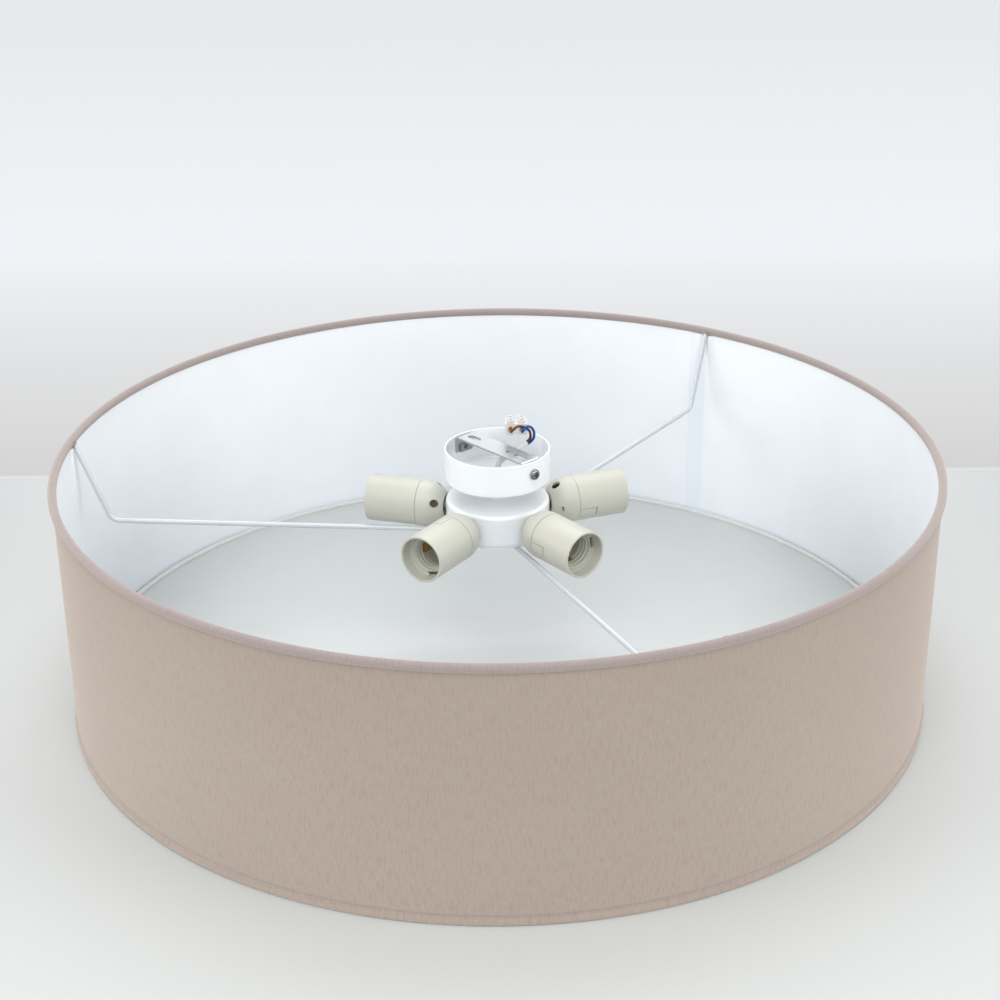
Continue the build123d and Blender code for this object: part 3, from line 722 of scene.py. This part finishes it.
# ---- The lampholders ----
# Cream moulded plastic. Each skirt has the lamp thread moulded inside it, a latch tongue
# cut in its rear edge and a key slot in the face of the socket.
cream = plain_finish("cream_plastic", (0.565, 0.56, 0.49, 1), 1100, 0.34, 0.48, relief=0.00002,
                     specular=0.45)
socket_cream = plain_finish("socket_cream", (0.60, 0.585, 0.52, 1), 1100, 0.36, 0.50, relief=0.00002,
                            specular=0.45)
brass = plain_finish("contact_brass", (0.72, 0.50, 0.20, 1), 1300, 0.18, 0.34, metallic=1.0)
holder_count = 5
holder_azimuths = [math.radians(67.5 + 72 * number) for number in range(holder_count)]
holder_height = 0.1487
shell_radius = 0.0191
shell_inside = 0.0173
shell_start, shell_end = 0.0653, 0.1083
socket_face, socket_back = 0.0980, 0.0760
thread_root, thread_crest = 0.01325, 0.01225
thread_pitch = 0.00363
socket_outside = 0.0152
thread_end = 0.0868            # inner end of the moulded thread
thread_run_in = 0.001          # over which it rises at its inner end
thread_run_out = 0.0022        # over which it fades towards the socket's face
thread_roundness = 1.3
# How far each skirt is turned: the direction of its latch, from level towards the top.
latch_turns = [math.radians(value) for value in (202, 200, 235, 104, 188)]
key_turn = math.radians(182)   # from the latch to the key slot


def holder_matrix(number):
    """Places a part made up along X from the hub's axis."""
    return Matrix.Translation((0, 0, holder_height)) @ Matrix.Rotation(holder_azimuths[number], 4, "Z")


def turned_on_x(name, section, steps, shift):
    """Closed section of (distance, radius) points turned about the X axis and shifted."""
    vertices = []
    for step in range(steps):
        angle = 2 * math.pi * step / steps
        for distance, radius in section:
            distance, radius = shift(angle, distance, radius)
            vertices.append((distance, radius * math.cos(angle), radius * math.sin(angle)))
    count = len(section)
    faces = []
    for step in range(steps):
        here, there = step * count, (step + 1) % steps * count
        for point in range(count):
            after = (point + 1) % count
            faces.append((here + point, here + after, there + after, there + point))
    mesh = bpy.data.meshes.new(name)
    mesh.from_pydata(vertices, [], faces)
    outwards(mesh)
    return mesh


def thread_shift(angle, distance, radius):
    """Rolls the bore of the socket into a round lamp thread that fades at both ends."""
    if abs(radius - thread_root) > 1e-6 or not socket_back < distance < socket_face:
        return distance, radius
    turns = distance / thread_pitch - angle / (2 * math.pi)
    ridge = 0.5 + 0.5 * math.cos(2 * math.pi * turns)
    fade = step_up(distance, thread_end - thread_run_in, thread_end)
    fade *= 1 - step_up(distance, socket_face - thread_run_out, socket_face)
    return distance, radius - (thread_root - thread_crest) * ridge ** thread_roundness * fade


def cutter(name, size, place, roll):
    """Box that cuts the shell, at a roll angle about the X axis."""
    mesh = bpy.data.meshes.new(name)
    work = bmesh.new()
    bmesh.ops.create_cube(work, size=1.0)
    sized = Matrix.Translation(place) @ Matrix.Diagonal((*size, 1.0))
    work.transform(Matrix.Rotation(roll, 4, "X") @ sized)
    work.to_mesh(mesh)
    work.free()
    return mesh


skirt_bevel = 0.0003
lip = 0.0004
face_corner = 0.0004           # rounding between the skirt and the socket's face
corner_relief = 0.0001
rim_rise = 0.0005              # the raised rim round the bore
rim_foot, rim_top, rim_edge = 0.0016, 0.0012, 0.0004
face_thickness = 0.0015
bore_steps = 56
shell_steps = 144
shell_length = shell_end - shell_start
shell_section = [(shell_start, shell_radius - skirt_bevel), (shell_start + skirt_bevel, shell_radius)]
shell_section += [(shell_start + shell_length * share, shell_radius) for share in (0.25, 0.5, 0.75)]
shell_section += [
    (shell_end - lip, shell_radius), (shell_end, shell_radius - lip),
    (shell_end, shell_inside + lip), (shell_end - lip, shell_inside),
    (socket_face + face_corner, shell_inside + corner_relief),
    (socket_face, shell_inside - face_corner), (socket_face, thread_root + rim_foot),
    (socket_face + rim_rise, thread_root + rim_top), (socket_face + rim_rise, thread_root + rim_edge)]
for step in range(bore_steps + 1):
    shell_section.append((socket_face + (socket_back - socket_face) * step / bore_steps, thread_root))
shell_section += [
    (socket_back, socket_outside), (socket_face - face_thickness, socket_outside),
    (socket_face - face_thickness, shell_inside), (shell_start, shell_inside)]
slit = 0.00034
latch_length = 0.0147
latch_half_turn = math.radians(13.5)
latch_end_slot = 0.0007
slit_sink = 0.0002             # middle of the knife, below the skirt's outside
slit_end_sink = 0.0006
key_slot_depth = 0.0021
key_slot_width = 0.0092
key_slot_height = 0.0036
key_slot_inset = 0.0002        # from the skirt's inside
knife_height = 0.0040
knife_overshoot = 0.001        # past the face that it cuts
for number in range(holder_count):
    mesh = turned_on_x(f"lampholder_skirt_{number + 1}", shell_section, shell_steps, thread_shift)
    smooth(mesh, angle=30)
    shell = add_object(mesh.name, mesh, cream)
    roll = latch_turns[number] - math.pi / 2
    cut_meshes = []
    for side in (-1, 1):
        size = (latch_length + knife_overshoot, slit, knife_height)
        place = Vector((shell_start + latch_length / 2 - knife_overshoot / 2, 0,
                        shell_radius - slit_sink))
        cut_meshes.append(cutter("slit", size, place, roll + side * latch_half_turn))
    end_width = 2 * shell_radius * math.sin(latch_half_turn) + slit
    size = (latch_end_slot, end_width, knife_height)
    place = Vector((shell_start + latch_length, 0, shell_radius - slit_end_sink))
    cut_meshes.append(cutter("slit_end", size, place, roll))
    size = (key_slot_depth + knife_overshoot, key_slot_width, key_slot_height)
    place = Vector((socket_face - key_slot_depth / 2 + knife_overshoot / 2, 0,
                    shell_inside - key_slot_inset - key_slot_height / 2))
    cut_meshes.append(cutter("key_slot", size, place, roll + key_turn))
    for index, cut_mesh in enumerate(cut_meshes):
        knife = bpy.data.objects.new(f"knife_{index}", cut_mesh)
        bpy.context.scene.collection.objects.link(knife)
        cut = shell.modifiers.new("cut", "BOOLEAN")
        cut.object = knife
        cut.operation = "DIFFERENCE"
        cut.solver = "EXACT"
        bpy.context.view_layer.update()
        evaluated = shell.evaluated_get(bpy.context.evaluated_depsgraph_get())
        result = bpy.data.meshes.new_from_object(evaluated)
        shell.modifiers.clear()
        shell.data = result
        bpy.data.objects.remove(knife)
    shell.data.transform(holder_matrix(number))
    smooth(shell.data, angle=30)
    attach(shell, f"shell_{number + 1}")
    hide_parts(f"lampholder_shell_{number + 1}")
    finish_node(f"lampholder_dome_{number + 1}", cream)
    finish_node(f"contact_block_{number + 1}", socket_cream)
for name in ("centre_contacts", "side_contacts", "terminal_sleeves"):
    finish_node(name, brass)


# ---- The contact springs ----
# Two bent brass strips in each socket: one rises along the wall to touch the lamp's
# thread, the other stands off the block to touch the lamp's foot.
spring_thickness = 0.0005
# Each strip's bends: distance from the hub's axis, height above the socket's axis.
side_spring_line = [(0.0752, 0.0105), (0.0772, 0.0122), (0.0820, 0.0126), (0.0862, 0.0119),
                    (0.0885, 0.0126)]
side_spring_width = 0.0070
foot_spring_line = [(0.0752, -0.0062), (0.0768, -0.0060), (0.0806, -0.0012), (0.0812, 0.0012),
                    (0.0800, 0.0036)]
foot_spring_width = 0.0052
spring_turn = math.radians(85)   # from the latch to the side contact


def strip(name, line, width, roll, number):
    """Bent strip of a given width along a line of (distance, height) points."""
    mesh = bpy.data.meshes.new(name)
    points = [(distance, side * width / 2, height) for distance, height in line for side in (-1, 1)]
    faces = [(2 * row, 2 * row + 1, 2 * row + 3, 2 * row + 2) for row in range(len(line) - 1)]
    mesh.from_pydata(points, [], faces)
    mesh.transform(holder_matrix(number) @ Matrix.Rotation(roll, 4, "X"))
    made = add_object(name, mesh, brass)
    bend = made.modifiers.new("bend", "SUBSURF")
    bend.levels = 3
    bend.render_levels = 3
    bend.boundary_smooth = "PRESERVE_CORNERS"
    thick = made.modifiers.new("thick", "SOLIDIFY")
    thick.thickness = spring_thickness
    thick.offset = 0
    mesh.shade_smooth()
    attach(made, f"shell_{number + 1}")


for number in range(holder_count):
    roll = latch_turns[number] + spring_turn - math.pi / 2
    strip(f"side_spring_{number + 1}", side_spring_line, side_spring_width, roll, number)
    strip(f"foot_spring_{number + 1}", foot_spring_line, foot_spring_width, roll, number)


# ---- The wiring ----
# A light grey sheathed cable comes up through the stem. Its brown and blue cores loop
# over into a two-pole terminal block of clear plastic. The links between the lampholders
# are the same two colours.
sheath = plain_finish("grey_sheath", (0.72, 0.705, 0.665, 1), 800, 0.40, 0.55)
brown = plain_finish("brown_core", (0.155, 0.040, 0.020, 1), 800, 0.40, 0.55, specular=0.25, shade=0.75)
blue = plain_finish("blue_core", (0.004, 0.072, 0.33, 1), 800, 0.40, 0.55, specular=0.25, shade=0.75)
for name, material in (("stem_cable", sheath), ("cable_bush", sheath),
                       ("live_links", brown), ("neutral_links", blue)):
    finish_node(name, material)
stem_top = 0.1838
# The lines of the cable and its cores: x, y and height above the stem.
cable_points = [(0, 0, 0), (0, 0, 0.0040), (0.0010, 0.0026, 0.0081), (0.0037, 0.0086, 0.0122),
                (0.0062, 0.0160, 0.0161), (0.0091, 0.0244, 0.0198)]
live_bends = [(0.0114, 0.0262, 0.0270), (0.0151, 0.0215, 0.0333), (0.0162, 0.0139, 0.0389),
              (0.0154, 0.0080, 0.0409), (0.0137, 0.0039, 0.0379)]
neutral_bends = [(0.0133, 0.0286, 0.0249), (0.0166, 0.0250, 0.0321), (0.0193, 0.0192, 0.0381),
                 (0.0200, 0.0136, 0.0405), (0.0195, 0.0104, 0.0375)]
# The terminal block: its corner, and how far along it the two poles lie.
block_corner = Vector((0.0016, 0.0071, 0.0339))
pole_places = (0.0045, 0.0135)
lead_spread = 0.00115          # each core, from the middle of the cable's end
lead_start_run = 0.0036        # straight out of the sheath
lead_entry_run = 0.0066        # straight in front of the block
lead_grip = 0.0050             # inside the block
lead_diameter = 0.0022
cable_diameter = 0.0044


def nurbs_tube(name, points, diameter, material):
    """Round cord on a smooth NURBS line."""
    curve = bpy.data.curves.new(name, "CURVE")
    curve.dimensions = "3D"
    spline = curve.splines.new("NURBS")
    spline.points.add(len(points) - 1)
    for point, place in zip(spline.points, points):
        point.co = (place[0], place[1], place[2] + stem_top, 1)
    spline.order_u = 3
    spline.use_endpoint_u = True
    spline.resolution_u = 10
    curve.bevel_depth = diameter / 2
    curve.bevel_resolution = 6
    curve.use_fill_caps = True
    return add_object(name, curve, material)


def block_point(along, depth):
    """Point on a pole's axis, from the terminal block's corner."""
    local = Matrix.Rotation(photo_turn, 3, "Z") @ Vector((along, depth, 0))
    return block_corner + local


cable_end = Vector(cable_points[-1])
heading = (cable_end - Vector(cable_points[-2])).normalized()
upwards = heading.cross(Vector((0, 0, 1))).normalized().cross(heading)
leads = []
# Each core: side of the cable's end, bends, pole of the block, finish and slot.
cores = {"live_core": (1, live_bends, pole_places[0], brown, "brown_core"),
         "neutral_core": (-1, neutral_bends, pole_places[1], blue, "blue_core")}
for name, (side, bends, pole, material, slot) in cores.items():
    start = cable_end + upwards * side * lead_spread
    points = [start, start + heading * lead_start_run] + [Vector(place) for place in bends]
    points += [block_point(pole, -lead_entry_run), block_point(pole, lead_grip)]
    lead = nurbs_tube(name, points, lead_diameter, material)
    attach(lead, "fitting")
    leads.append((lead, start))
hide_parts("live_lead")
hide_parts("neutral_lead")
cable = nurbs_tube("sheathed_cable", cable_points, cable_diameter, sheath)
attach(cable, "fitting")
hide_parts("supply_cable")

clear = plain_finish("clear_plastic", (0.93, 0.93, 0.915, 1), 600, 0.30, 0.40, shade=0.88)
shader = clear.node_tree.nodes["Principled BSDF"]
shader.inputs["Transmission Weight"].default_value = 0.38
shader.inputs["IOR"].default_value = 1.46
finish_node("terminal_block", clear)
for lead, start in leads:
    place = start + Vector((0, 0, stem_top))
